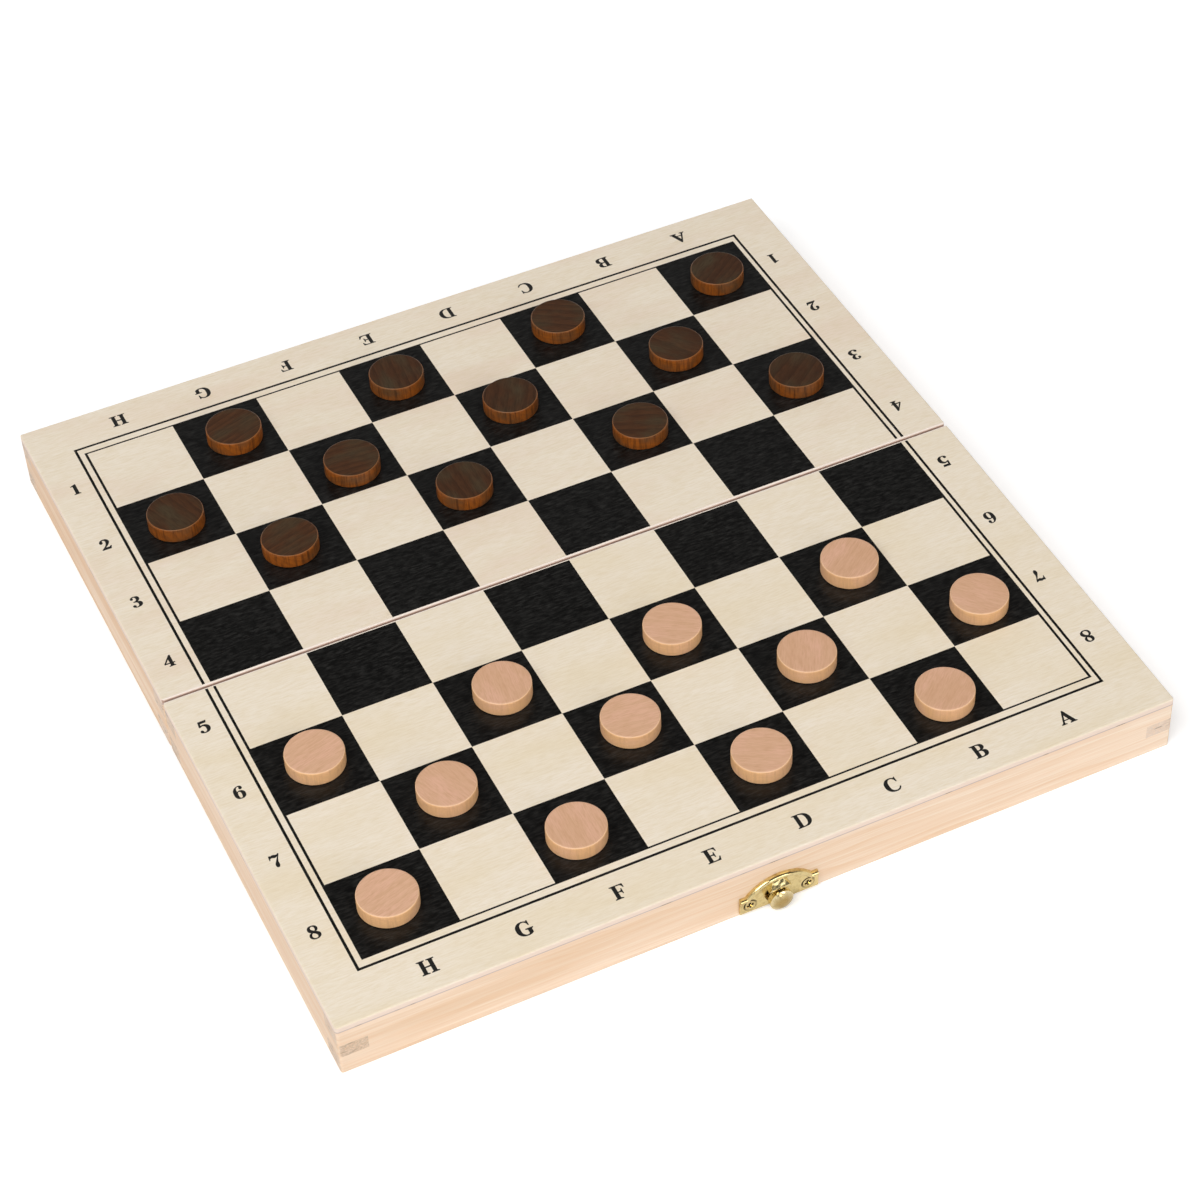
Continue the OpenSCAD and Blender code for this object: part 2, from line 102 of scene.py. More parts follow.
# Height of the grid that the characters are drawn on
GLYPH_HEIGHT = 100


def srgb(code):
    """Turns an sRGB hex colour into the linear values that a shader needs."""
    parts = [int(code[i:i + 2], 16) / 255 for i in (1, 3, 5)]
    return tuple(c / 12.92 if c <= 0.04045 else ((c + 0.055) / 1.055) ** 2.4
                 for c in parts)


def colour(code, name, description):
    """A colour property whose default is an sRGB hex code."""
    return bpy.props.FloatVectorProperty(
        name=name, description=description, subtype="COLOR", size=3,
        min=0, max=1, default=srgb(code))


def between(first, second, share):
    """The colour that lies a share of the way from the first to the second."""
    return tuple(a + (b - a) * share for a, b in zip(first, second))


def length(millimetres, name, description):
    """A length property whose default is given in millimetres."""
    return bpy.props.FloatProperty(
        name=name, description=description, subtype="DISTANCE", unit="LENGTH",
        min=0, precision=5, default=millimetres * MM)


class BoardPrintSettings(bpy.types.PropertyGroup):
    """The printed coordinates and their ink."""
    letter_height: length(5.25, "Letter height", "Height of a printed capital")
    digit_height: length(4.95, "Digit height", "Height of a printed digit")
    letter_row: length(11.4, "Letter row", "From the squares to the letters' middle")
    digit_row: length(8.95, "Digit row", "From the squares to the digits' middle")
    digit_shift: length(0.2, "Digit shift", "How far both digit rows sit to the left")
    panel_top: length(20.5, "Panel top", "Height of the playing surface above the rim")
    ink_film: length(0.02, "Ink film", "How far the ink stands proud of the panel")
    ink_spread: length(0.055, "Ink spread", "How far the ink runs past its outline")
    rule_spread: length(0.2, "Rule spread", "Ink past the fine rules at the sides")
    ink: colour("#12100F", "Ink", "Black screen-printing ink")
    ink_worn: colour("#3A342E", "Worn ink", "Ink that lies thin on the raised grain")


class BoardWoodSettings(bpy.types.PropertyGroup):
    """The colours of the panels and rails."""
    ply: colour("#F1E5D3", "Ply", "Pale face veneer of the panels")
    ply_late: colour("#E0CDAA", "Ply grain", "Darker bands in the face veneer")
    ply_patch: colour("#E9D8B8", "Near patches", "Yellowish areas in the near half's veneer")
    ply_pink: colour("#E9D1BC", "Far patches", "Pinkish areas in the far half's veneer")
    ply_edge: colour("#EAD5C5", "Ply edge", "Sanded edges of the panels")
    glue: colour("#B6A2A2", "Glue line", "Joint under the panel's edge")
    nick: colour("#7C6455", "Nicks", "Small bruises along the joint")
    black: colour("#0A0908", "Black print", "Ink in the valleys of the grain")
    black_late: colour("#302F2D", "Worn print", "Thin ink on the raised grain")
    joint_height: length(18.3, "Joint height", "From the rim to the joint under a panel")
    bare_strip: length(0.95, "Bare strip", "Sanded strip along the fold")
    pine: colour("#E8CCB0", "Pine", "Early wood of the rails")
    pine_pale: colour("#F5E2CE", "Pale pine", "Sapwood of the paler rails")
    pine_patch: colour("#F9E5D0", "Pine patches", "Pale streaks in the rails")
    pine_late: colour("#E2B587", "Pine grain", "Late wood of the rails")
    pine_end: colour("#B9A28C", "Pine end grain", "Sawn ends of the rails' fingers")
    pine_end_pale: colour("#DCC9BC", "Pale end grain", "Sawn ends of the paler rails")
    saw_mark: colour("#8F7768", "Saw marks", "Dark scratches on the sawn ends")
    bare: colour("#F4E7DB", "Bare ply", "Sanded strip along the fold")
    # Painted shade on the panels' edges in the gap between the halves at the fold
    fold_gap_shade: colour("#BE9F8E", "Fold dirt", "Painted shade between the two halves")


class BoardCheckerSettings(bpy.types.PropertyGroup):
    """The colours of the checkers."""
    light_top: colour("#DCB090", "Light top", "Faces of the light checkers")
    light_top_late: colour("#C4946F", "Light top grain", "Grain on the light faces")
    light_patch: colour("#E6B59C", "Light patches", "Pinkish clouds in the light faces")
    light_side: colour("#F0BD88", "Light side", "Turned sides of the light checkers")
    # Painted highlight on the eased edge of the light checkers
    light_rim_highlight: colour("#F4D3AC", "Light rim", "Eased edge of the light checkers")
    dark_top: colour("#543520", "Dark top", "Stained faces of the dark checkers")
    dark_top_late: colour("#2A190E", "Dark top grain", "Grain on the dark faces")
    dark_patch: colour("#483D2B", "Dark patches", "Olive clouds where the stain is thick")
    dark_side: colour("#9A541A", "Dark side", "Stained sides of the dark checkers")
    # Rubbed stain on the edge of the dark checkers, made paler as a painted highlight
    dark_rim_wear_and_highlight: colour("#A06A3C", "Dark rim", "Rubbed edge of the dark checkers")


class BoardBrassSettings(bpy.types.PropertyGroup):
    """The brass fittings."""
    brass: colour("#E3CF97", "Brass", "Polished yellow brass")
    tarnish: colour("#A88B52", "Tarnish", "Brass in the corners and marks")
    # Painted shade in the ring round a sunk screw head and in its cross
    groove_shade: colour("#3A2C16", "Grooves", "Dark line round a screw and in its cross")
    polish: bpy.props.FloatProperty(
        name="Polish", description="Roughness of the polished faces",
        subtype="FACTOR", min=0.05, max=0.8, default=0.12)


class BoardStageSettings(bpy.types.PropertyGroup):
    """The floor, the lamps and the camera."""
    floor_size: length(6000, "Floor size", "Side of the square floor")
    paper: colour("#F4F4F4", "Paper", "White of the floor")
    floor_lift: bpy.props.FloatProperty(
        name="Floor lift", description="White that the camera sees added to the floor",
        subtype="FACTOR", min=0, max=1, default=0.3)
    far_lift: bpy.props.FloatProperty(
        name="Far lift", description="White that the camera sees added far away",
        subtype="FACTOR", min=0, max=1, default=0.75)
    near_reach: length(200, "Near reach", "Distance at which the lift starts to grow")
    far_reach: length(1400, "Far reach", "Distance at which the lift is full")
    key_power: bpy.props.FloatProperty(
        name="Key lamp", description="Power of the large soft lamp",
        subtype="POWER", unit="POWER", min=0, default=41)
    fill_power: bpy.props.FloatProperty(
        name="Fill lamp", description="Power of the front lamp",
        subtype="POWER", unit="POWER", min=0, default=12)
    ambient: bpy.props.FloatProperty(
        name="Ambient", description="Strength of the surrounding light",
        subtype="FACTOR", min=0, max=1, default=0.42)
    ceiling: bpy.props.FloatProperty(
        name="Ceiling", description="How bright the ceiling is in reflections",
        subtype="FACTOR", min=0, max=1, default=0.05)
    lens: bpy.props.FloatProperty(
        name="Lens", description="Focal length on a 36 mm wide sensor",
        subtype="DISTANCE_CAMERA", unit="CAMERA", min=20, default=96.303)


def node(tree, kind, inputs=None, **settings):
    """Adds a node. Settings are its properties. Inputs give each socket a value or a link."""
    made = tree.nodes.new(kind)
    for key, value in settings.items():
        setattr(made, key, value)
    for key, value in (inputs or {}).items():
        if isinstance(value, bpy.types.NodeSocket):
            tree.links.new(value, made.inputs[key])
        else:
            made.inputs[key].default_value = value
    return made


def new_material(name):
    """An empty material, its tree and its output node."""
    material = bpy.data.materials.new(name)
    material.use_nodes = True
    tree = material.node_tree
    tree.nodes.clear()
    return material, tree, tree.nodes.new("ShaderNodeOutputMaterial")


def blend_colours(tree, factor, first, second):
    """The colour between two colours, which may be sockets or plain values."""
    def value(c):
        return c if isinstance(c, bpy.types.NodeSocket) else (*c, 1)
    # A mix node takes colours at sockets 6 and 7 and gives one at socket 2
    mix = node(tree, "ShaderNodeMix", {0: factor, 6: value(first), 7: value(second)},
               data_type="RGBA")
    return mix.outputs[2]


def scaled(tree, vector, sizes):
    """Coordinates divided by a size along each axis, in the same unit."""
    return node(tree, "ShaderNodeVectorMath",
                {0: vector, 1: tuple(1 / s for s in sizes)}, operation="MULTIPLY").outputs[0]


def half_frame(tree, place, side):
    """Object coordinates in the frame of the far half (side 1) or the near one (-1), in
    millimetres."""
    return node(tree, "ShaderNodeMapping",
                {"Vector": place.outputs["Object"], "Location": (0, 0, FOLD_Z),
                 "Rotation": (-side * DROOP, 0, 0), "Scale": (MM, MM, MM)},
                vector_type="TEXTURE").outputs[0]


def add_turned_side(tree, board, up, tone, faces):
    """The tone with upright streaks on a turned side and a painted highlight on the eased edge
    above it.
    """
    # Streaks 0.7 mm wide, which fade out towards the face
    streaks = node(tree, "ShaderNodeTexNoise",
                   {"Vector": scaled(tree, board, (0.7, 0.7, 9)), "Scale": 1, "Detail": 2,
                    "Roughness": 0.6})
    flank = node(tree, "ShaderNodeMapRange",
                 {"Value": up, "From Max": 0.3, "To Min": 1, "To Max": 0})
    drawn = node(tree, "ShaderNodeMapRange",
                 {"Value": streaks.outputs["Fac"], "From Min": 0.48, "From Max": 0.72,
                  "To Max": faces["streak_depth"]})
    shown = node(tree, "ShaderNodeMath", {0: flank.outputs[0], 1: drawn.outputs[0]},
                 operation="MULTIPLY")
    tone = blend_colours(tree, shown.outputs[0], tone, faces["streak"])
    # The eased edge, where the surface is neither level nor upright, is up to 0.6 covered with
    # a painted highlight, which on the dark checkers is also rubbed stain
    below = node(tree, "ShaderNodeMath", {0: up, 1: 1}, operation="SUBTRACT")
    both = node(tree, "ShaderNodeMath", {0: below.outputs[0], 1: up}, operation="MULTIPLY")
    edge = node(tree, "ShaderNodeMath", {0: both.outputs[0], 1: -2.4}, operation="MULTIPLY",
                use_clamp=True)
    return blend_colours(tree, edge.outputs[0], tone, faces["rim"])


def add_sawn_end(tree, board, normal, aim, tone, end):
    """The tone with mottled end grain where a face is cut across the log."""
    log = Vector((1, 0, 0))
    log.rotate(Euler(aim))
    facing = node(tree, "ShaderNodeVectorMath", {0: normal, 1: tuple(log)},
                  operation="DOT_PRODUCT")
    cut = node(tree, "ShaderNodeMath", {0: facing.outputs["Value"]}, operation="ABSOLUTE")
    sawn = node(tree, "ShaderNodeMapRange",
                {"Value": cut.outputs[0], "From Min": 0.75, "From Max": 0.95, "To Max": 0.85})
    pores = node(tree, "ShaderNodeTexNoise",
                 {"Vector": board, "Scale": 1.6, "Detail": 4, "Roughness": 0.7})
    mottle = node(tree, "ShaderNodeMapRange",
                  {"Value": pores.outputs["Fac"], "From Min": 0.35, "From Max": 0.7})
    end_tone = blend_colours(tree, mottle.outputs[0], end["tone"], tone)
    # Dark scratches along the saw's path, up to 4 mm long and less than 0.9 mm wide
    scratch = node(tree, "ShaderNodeTexNoise",
                   {"Vector": scaled(tree, board, (4, 4, 0.9)), "Scale": 1, "Detail": 1})
    scored = node(tree, "ShaderNodeMapRange",
                  {"Value": scratch.outputs["Fac"], "From Min": 0.6, "From Max": 0.68,
                   "To Max": 0.8})
    end_tone = blend_colours(tree, scored.outputs[0], end_tone, end["marks"])
    return blend_colours(tree, sawn.outputs[0], tone, end_tone)


def add_panel_edge(tree, board, normal, tone, seam):
    """The tone with what shows round a panel: sanded strip, edge, painted shade and glue line.
    """
    spot = node(tree, "ShaderNodeSeparateXYZ", {0: board})
    tilt = node(tree, "ShaderNodeSeparateXYZ", {0: normal})
    upright = node(tree, "ShaderNodeMath", {0: tilt.outputs["Z"]}, operation="ABSOLUTE")
    edge_on = node(tree, "ShaderNodeMapRange",
                   {"Value": upright.outputs[0], "From Min": 0.3, "From Max": 0.9,
                    "To Min": 1, "To Max": 0})
    # The strip at the fold is sanded bare
    from_fold = node(tree, "ShaderNodeMath", {0: spot.outputs["Y"]}, operation="ABSOLUTE")
    bare = node(tree, "ShaderNodeMapRange",
                {"Value": from_fold.outputs[0], "From Min": seam["bare"] - 0.3,
                 "From Max": seam["bare"], "To Min": 1, "To Max": 0})
    tone = blend_colours(tree, bare.outputs[0], tone, seam["strip"])
    tone = blend_colours(tree, edge_on.outputs[0], tone, seam["edge"])
    # Painted shade in the gap between the halves, below the rounded edges
    gap_shade_mask = node(tree, "ShaderNodeMath", {0: edge_on.outputs[0], 1: bare.outputs[0]},
                 operation="MULTIPLY")
    tone = blend_colours(tree, gap_shade_mask.outputs[0], tone, seam["gap_shade"])
    # Glue line at the foot of the edge: 0.3 mm wide, then it fades out in 0.25 mm
    near_joint = node(tree, "ShaderNodeMapRange",
                      {"Value": spot.outputs["Z"], "From Min": seam["z"] + 0.3,
                       "From Max": seam["z"] + 0.55, "To Min": 0.85, "To Max": 0})
    line = node(tree, "ShaderNodeMath", {0: edge_on.outputs[0], 1: near_joint.outputs[0]},
                operation="MULTIPLY")
    # Bruises in it a few millimetres long, 7 mm apart or more
    bruise = node(tree, "ShaderNodeTexNoise",
                  {"Vector": scaled(tree, board, (7, 7, 40)), "Scale": 1, "Detail": 1})
    worn = node(tree, "ShaderNodeMapRange",
                {"Value": bruise.outputs["Fac"], "From Min": 0.62, "From Max": 0.68})
    glue = blend_colours(tree, worn.outputs[0], seam["glue"], seam["nick"])
    return blend_colours(tree, line.outputs[0], tone, glue)


def wood(name, side, early, late, pith, ring, *, wobble, sharp, ring_depth, fibre, fibre_mm,
         rough, turn=0, tip=0, sparse=0.35, patch=None, drift=None, faces=None, end=None,
         seam=None, gloss=0.35, bump=0.12):
    """Solid wood with yearly rings round a pith line, and fibres along it.
    Side is +1 on the far half and -1 on the near one. Pith is a point on the pith line and
    turn and tip aim it, all in millimetres and degrees in the half's own frame. Ring is a
    year's width and fibre_mm a fibre's length and width. Patch, faces, end and seam hold
    what a cloudy, turned, sawn or glued wood shows on top. Drift is the early wood's colour
    at the right end of the board."""
    material, tree, output = new_material(name)
    place = node(tree, "ShaderNodeTexCoord")
    normal = place.outputs["Normal"]
    board = half_frame(tree, place, side)
    aim = (0, math.radians(tip), math.radians(turn))
    grain = node(tree, "ShaderNodeMapping",
                 {"Vector": board, "Location": pith, "Rotation": aim},
                 vector_type="TEXTURE").outputs[0]
    # Slow wander of the rings along the log, by up to six years at full wobble
    wander = node(tree, "ShaderNodeTexNoise",
                  {"Vector": scaled(tree, grain, (90, 14, 14)), "Scale": 1, "Detail": 2.5})
    across = node(tree, "ShaderNodeVectorMath", {0: grain, 1: (0, 1, 1)}, operation="MULTIPLY")
    radius = node(tree, "ShaderNodeVectorMath", {0: across.outputs[0]}, operation="LENGTH")
    years = node(tree, "ShaderNodeMath",
                 {0: radius.outputs["Value"], 1: 1 / ring}, operation="MULTIPLY")
    bent = node(tree, "ShaderNodeMath",
                {0: wander.outputs["Fac"], 1: wobble * 6, 2: years.outputs[0]},
                operation="MULTIPLY_ADD")
    within = node(tree, "ShaderNodeMath", {0: bent.outputs[0]}, operation="FRACT")
    # Late wood darkens slowly through the year and stops at once
    band = node(tree, "ShaderNodeMath", {0: within.outputs[0], 1: sharp}, operation="POWER")
    band_depth = node(tree, "ShaderNodeMath", {0: band.outputs[0], 1: ring_depth},
                      operation="MULTIPLY")
    if faces:
        # A turned piece has one colour on its faces and another on its side
        split = node(tree, "ShaderNodeSeparateXYZ", {0: normal})
        level = node(tree, "ShaderNodeMath", {0: split.outputs["Z"]}, operation="ABSOLUTE")
        up = node(tree, "ShaderNodeMapRange",
                  {"Value": level.outputs[0], "From Min": 0.55, "From Max": 0.85}).outputs[0]
        early = blend_colours(tree, up, faces["side"], early)
        late = blend_colours(tree, up, faces["side_late"], late)
    if drift:
        spot = node(tree, "ShaderNodeSeparateXYZ", {0: board})
        along = node(tree, "ShaderNodeMapRange",
                     {"Value": spot.outputs["X"], "From Min": -110, "From Max": 120})
        early = blend_colours(tree, along.outputs[0], early, drift)
    tone = blend_colours(tree, band_depth.outputs[0], early, late)
    if patch:
        long_mm, wide_mm = patch["mm"]
        cloud = node(tree, "ShaderNodeTexNoise",
                     {"Vector": scaled(tree, grain, (long_mm, wide_mm, wide_mm)),
                      "Scale": 1, "Detail": 3})
        spread = node(tree, "ShaderNodeMapRange",
                      {"Value": cloud.outputs["Fac"], "From Min": 0.45, "From Max": 0.7,
                       "To Max": patch["depth"]})
        tone = blend_colours(tree, spread.outputs[0], tone, patch["tone"])
    # Fibres: long along the grain, drawn wide enough to show in the render
    long_mm, wide_mm = fibre_mm
    threads = node(tree, "ShaderNodeTexNoise",
                   {"Vector": scaled(tree, grain, (long_mm, wide_mm, wide_mm)),
                    "Scale": 1, "Detail": 3, "Roughness": 0.65})
    dark = node(tree, "ShaderNodeMapRange",
                {"Value": threads.outputs["Fac"], "From Min": sparse,
                 "From Max": sparse + 0.3, "To Max": fibre})
    tone = blend_colours(tree, dark.outputs[0], tone, late)
    if faces:
        tone = add_turned_side(tree, board, up, tone, faces)
    if end:
        tone = add_sawn_end(tree, board, normal, aim, tone, end)
    if seam:
        tone = add_panel_edge(tree, board, normal, tone, seam)
    relief = node(tree, "ShaderNodeBump",
                  {"Strength": bump, "Distance": 0.1 * MM, "Height": threads.outputs["Fac"]})
    sheen = node(tree, "ShaderNodeMapRange",
                 {"Value": threads.outputs["Fac"], "To Min": rough - 0.08,
                  "To Max": rough + 0.1})
    shader = node(tree, "ShaderNodeBsdfPrincipled",
                  {"Base Color": tone, "Roughness": sheen.outputs[0], "IOR": 1.5,
                   "Specular IOR Level": gloss, "Normal": relief.outputs[0]})
    tree.links.new(shader.outputs[0], output.inputs["Surface"])
    return material


def dress(names, material):
    """Gives CAD nodes a material without touching their meshes."""
    for name in names:
        if name not in NODES:
            raise RuntimeError("the frame has no node named " + name)
        slots = NODES[name].data.materials
        slots.clear()
        slots.append(material)


class BOARD_OT_finish_panels(bpy.types.Operator):
    """Gives the panels their birch veneer and the squares their black print"""
    bl_idname = "board.finish_panels"
    bl_label = "Finish panels"

    def execute(self, context):
        s = context.scene.board_wood
        seam = {"z": s.joint_height / MM, "bare": s.bare_strip / MM, "strip": s.bare,
                "gap_shade": s.fold_gap_shade, "edge": s.ply_edge, "glue": s.glue, "nick": s.nick}
        for half, side, patch, pith in (("near", -1, s.ply_patch, (40, -60, -140)),
                                        ("far", 1, s.ply_pink, (-60, 95, -155))):
            # Rotary-cut birch ply under satin lacquer: pale, with slow bands along the fold
            ply = wood(half + "_birch_ply", side, s.ply, s.ply_late, pith, 9,
                       wobble=0.7, sharp=1, ring_depth=0.16, fibre=0.55, fibre_mm=(4, 0.5),
                       rough=0.45, sparse=0.4,
                       patch={"tone": patch, "depth": 0.5, "mm": (45, 14)},
                       seam=seam, bump=0.1)
            dress([half + "_panel"], ply)
            # Screen-printed black on the same veneer: the grain shows as fine pale threads
            black = wood(half + "_black_print", side, s.black, s.black_late,
                         pith, 9, wobble=0.7, sharp=1, ring_depth=0.05, fibre=1,
                         fibre_mm=(3, 0.5), rough=0.3, sparse=0.45, gloss=0.32, bump=0.25)
            dress([half + "_squares"], black)
        return {"FINISHED"}


class BOARD_OT_finish_rails(bpy.types.Operator):
    """Gives the rails their planed pine and sawn end grain"""
    bl_idname = "board.finish_rails"
    bl_label = "Finish rails"

    def execute(self, context):
        s = context.scene.board_wood
        # Each rail's half, turn and pith, how pale it is at its left and right end (a side
        # rail is even), and how pale its sawn ends are
        rails = (("near_front_rail", -1, 0, (0, -112, -46), 0.1, 1.1, 0.5),
                 ("near_fold_rail", -1, 0, (0, 30, -40), 0.5, 0.3, 0.3),
                 ("near_left_rail", -1, 90, (-96, 0, -52), 0.35, 0.35, 0),
                 ("near_right_rail", -1, 90, (170, 0, -38), 0.5, 0.5, 0.9),
                 ("far_back_rail", 1, 0, (0, 176, -44), 0.6, 0.3, 0.4),
                 ("far_fold_rail", 1, 0, (0, -26, -50), 0.3, 0.5, 0.6),
                 ("far_left_rail", 1, 90, (-178, 0, -46), -0.15, -0.15, 0.7),
                 ("far_right_rail", 1, 90, (98, 0, -54), 0.5, 0.5, 0.2))
        for name, side, turn, pith, pale, pale_right, sawn in rails:
            # Planed pine under satin lacquer: peach wood with straight yearly rings, and
            # paler sapwood in some rails
            pine = wood(name + "_pine", side, between(s.pine, s.pine_pale, pale),
                        between(s.pine_late, s.pine, pale * 0.5), pith, 3.4,
                        wobble=0.6, sharp=1.4, ring_depth=0.42, fibre=0.45,
                        fibre_mm=(40, 0.7), rough=0.48, turn=turn, tip=0.8,
                        patch={"tone": s.pine_patch, "depth": 0.8, "mm": (90, 5)},
                        drift=between(s.pine, s.pine_pale, pale_right),
                        end={"tone": between(s.pine_end, s.pine_end_pale, sawn),
                             "marks": s.saw_mark})
            dress([name], pine)
        return {"FINISHED"}


class BOARD_OT_finish_checkers(bpy.types.Operator):
    """Gives the light and dark checkers their turned and stained wood"""
    bl_idname = "board.finish_checkers"
    bl_label = "Finish checkers"

    def execute(self, context):
        s = context.scene.board_checkers
        # Each kind's half, colours, depth of rings, streaks and patches, and its lacquer
        kinds = (("light", -1, s.light_top, s.light_top_late, s.light_patch, s.light_side,
                  s.light_rim_highlight, 0.25, 0.35, 0.5, 0.42, 0.3),
                 ("dark", 1, s.dark_top, s.dark_top_late, s.dark_patch, s.dark_side,
                  s.dark_rim_wear_and_highlight, 0.5, 0.7, 0.8, 0.36, 0.2))
        for (kind, side, top, late, patch, flank, rim, depth, fleck, cloud, rough,
             gloss) in kinds:
            for i in range(12):
                # Turned beech with lacquer: each checker is cut its own way round the log, 12
                # to 51 mm beside the pith and 22 to 51 mm above it, with years 1.5 to 2.5 mm
                # wide, and takes the finish a little lighter or darker than the next
                name = "%s_checker_%d" % (kind, i + 1)
                turn = (i * 67 + 20) % 180
                centre = sum(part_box(name), Vector()) / 2 / MM
                across = Vector((0, 12 + (i * 29) % 40, 0))
                across.rotate(Euler((0, 0, math.radians(turn))))
                pith = centre + across - Vector((0, 0, 22 + (i * 17) % 30))
                share = (i * 5 % 8) / 8 * 0.35
                beech = wood(name + "_beech", side, between(top, late, share), late,
                             pith, 1.5 + (i * 7 % 5) * 0.25, wobble=0.35, sharp=1.4,
                             ring_depth=depth, fibre=0.6, fibre_mm=(3.5, 0.4), rough=rough,
                             turn=turn, tip=(i * 5) % 7 - 3, sparse=0.42,
                             patch={"tone": patch, "depth": cloud, "mm": (12, 7)},
                             faces={"side": between(flank, late, share * 0.7),
                                    "side_late": between(flank, late, 0.5),
                                    "streak": late, "streak_depth": fleck,
                                    "rim": rim}, gloss=gloss)
                dress([name], beech)
        return {"FINISHED"}


def screw_shade(tree, board, x):
    """How far the painted shade of a sunk screw covers a plate: a dark ring at the rim of its
    head and the dark cross in it. X is the screw's place in millimetres."""
    # Flat distance from the screw's axis
    off = node(tree, "ShaderNodeVectorMath", {0: board, 1: (x, 0, PLATE_SCREW_Z)},
               operation="SUBTRACT")
    flat = node(tree, "ShaderNodeVectorMath", {0: off.outputs[0], 1: (1, 0, 1)},
                operation="MULTIPLY")
    far = node(tree, "ShaderNodeVectorMath", {0: flat.outputs[0]}, operation="LENGTH")
    ring = node(tree, "ShaderNodeMath",
                {0: far.outputs["Value"], 1: HEAD_RADIUS, 2: HEAD_RING / 2},
                operation="COMPARE")
    # Painted shadow: the ring is strongest at its upper left, under the rim of the hole
    aim = node(tree, "ShaderNodeVectorMath", {0: flat.outputs[0], 1: (-0.25, 0, 0.45)},
               operation="DOT_PRODUCT")
    lip = node(tree, "ShaderNodeMapRange",
               {"Value": aim.outputs["Value"], "From Min": -0.4, "From Max": 0.5,
                "To Min": 0.25, "To Max": 0.9})
    groove_shade = node(tree, "ShaderNodeMath", {0: ring.outputs[0], 1: lip.outputs[0]},
                  operation="MULTIPLY")
    # Painted shade in the slots of the cross
    inside = node(tree, "ShaderNodeMath", {0: far.outputs["Value"], 1: CROSS_REACH},
                  operation="LESS_THAN")
    parts = node(tree, "ShaderNodeSeparateXYZ", {0: flat.outputs[0]})
    level = node(tree, "ShaderNodeMath", {0: parts.outputs["X"], 1: 0, 2: CROSS_ARM / 2},
                 operation="COMPARE")
    upright = node(tree, "ShaderNodeMath", {0: parts.outputs["Z"], 1: 0, 2: CROSS_ARM / 2},
                   operation="COMPARE")
    arms = node(tree, "ShaderNodeMath", {0: level.outputs[0], 1: upright.outputs[0]},
                operation="MAXIMUM")
    cross = node(tree, "ShaderNodeMath", {0: arms.outputs[0], 1: inside.outputs[0]},
                 operation="MULTIPLY")
    return node(tree, "ShaderNodeMath", {0: groove_shade.outputs[0], 1: cross.outputs[0]},
                operation="MAXIMUM").outputs[0]


def brass(name, s, base, waves, wave_mm, side=None, worn=None):
    """Polished brass whose surface waves bend its reflections. Worn is the tone of an end that
    faces the front, painted darker and browner as a painted dark reflection, and rougher. On a
    plate, side says which half it is on, and the sunk screws get painted shade: dark rings and
    crosses."""
    material, tree, output = new_material(name)
    place = node(tree, "ShaderNodeTexCoord")
    # Dull marks about 1.5 mm across
    marks = node(tree, "ShaderNodeTexNoise",
                 {"Vector": place.outputs["Object"], "Scale": 1 / (1.5 * MM), "Detail": 3})
    dull = node(tree, "ShaderNodeMapRange",
                {"Value": marks.outputs["Fac"], "From Min": 0.5, "From Max": 0.75,
                 "To Max": 0.6})
    tone = blend_colours(tree, dull.outputs[0], base, s.tarnish)
    rough = node(tree, "ShaderNodeMapRange",
                 {"Value": marks.outputs["Fac"], "To Min": s.polish - 0.05,
                  "To Max": s.polish + 0.12}).outputs[0]
    if worn:
        # Painted dark reflection: the end that faces the front is darker and browner, and
        # rougher
        split = node(tree, "ShaderNodeSeparateXYZ", {0: place.outputs["Normal"]})
        ahead = node(tree, "ShaderNodeMath", {0: split.outputs["Y"]}, operation="ABSOLUTE")
        end = node(tree, "ShaderNodeMapRange",
                   {"Value": ahead.outputs[0], "From Min": 0.8, "From Max": 0.97})
        tone = blend_colours(tree, end.outputs[0], tone, worn)
        rough = node(tree, "ShaderNodeMath", {0: end.outputs[0], 1: 0.1, 2: rough},
                     operation="MULTIPLY_ADD").outputs[0]
    if side:
        board = half_frame(tree, place, side)
        # Painted shade of the sunk screws
        for x in (CATCH_X - PLATE_SCREW_X, CATCH_X + PLATE_SCREW_X):
            shade = screw_shade(tree, board, x)
            tone = blend_colours(tree, shade, tone, s.groove_shade)
            rough = node(tree, "ShaderNodeMath", {0: shade, 1: 0.5, 2: rough},
                         operation="MULTIPLY_ADD").outputs[0]
    swell = node(tree, "ShaderNodeTexNoise",
                 {"Vector": place.outputs["Object"], "Scale": 1 / (wave_mm * MM), "Detail": 1})
    relief = node(tree, "ShaderNodeBump",
                  {"Strength": waves, "Distance": 0.5 * MM, "Height": swell.outputs["Fac"]})
    shader = node(tree, "ShaderNodeBsdfPrincipled",
                  {"Base Color": tone, "Metallic": 1, "Roughness": rough,
                   "Normal": relief.outputs[0]})
    tree.links.new(shader.outputs[0], output.inputs["Surface"])
    return material


class BOARD_OT_finish_brass(bpy.types.Operator):
    """Gives the hinges, the catch and the screws their polished brass"""
    bl_idname = "board.finish_brass"
    bl_label = "Finish brass"

    def execute(self, context):
        s = context.scene.board_brass
        # Stamped yellow brass, buffed: a wavy mirror with dark rings round its sunk screws and
        # crosses in them, both painted shade
        for half, side, plate in (("near", -1, "knob_plate"), ("far", 1, "hook_plate")):
            stamped = brass("stamped_brass_" + half, s, s.brass, 0.22, 2.2, side)
            dress([plate, plate + "_screws"], stamped)
        # Turned brass, lacquered: paler round the side as a painted highlight, and on the end
        # browner and darker as a painted dark reflection, and duller
        turned = brass("turned_brass", s, between(s.brass, (1, 1, 1), 0.12), 0.5, 1.3,
                       worn=between(s.brass, s.tarnish, 0.8))
        dress(["knob", "hook_rivet"], turned)
        # Rolled brass sheet, buffed after bending: broad shallow waves in the mirror
        rolled = brass("rolled_brass", s, s.brass, 0.3, 3)
        dress(["hook"] + [name for name in NODES if "hinge" in name], rolled)
        return {"FINISHED"}


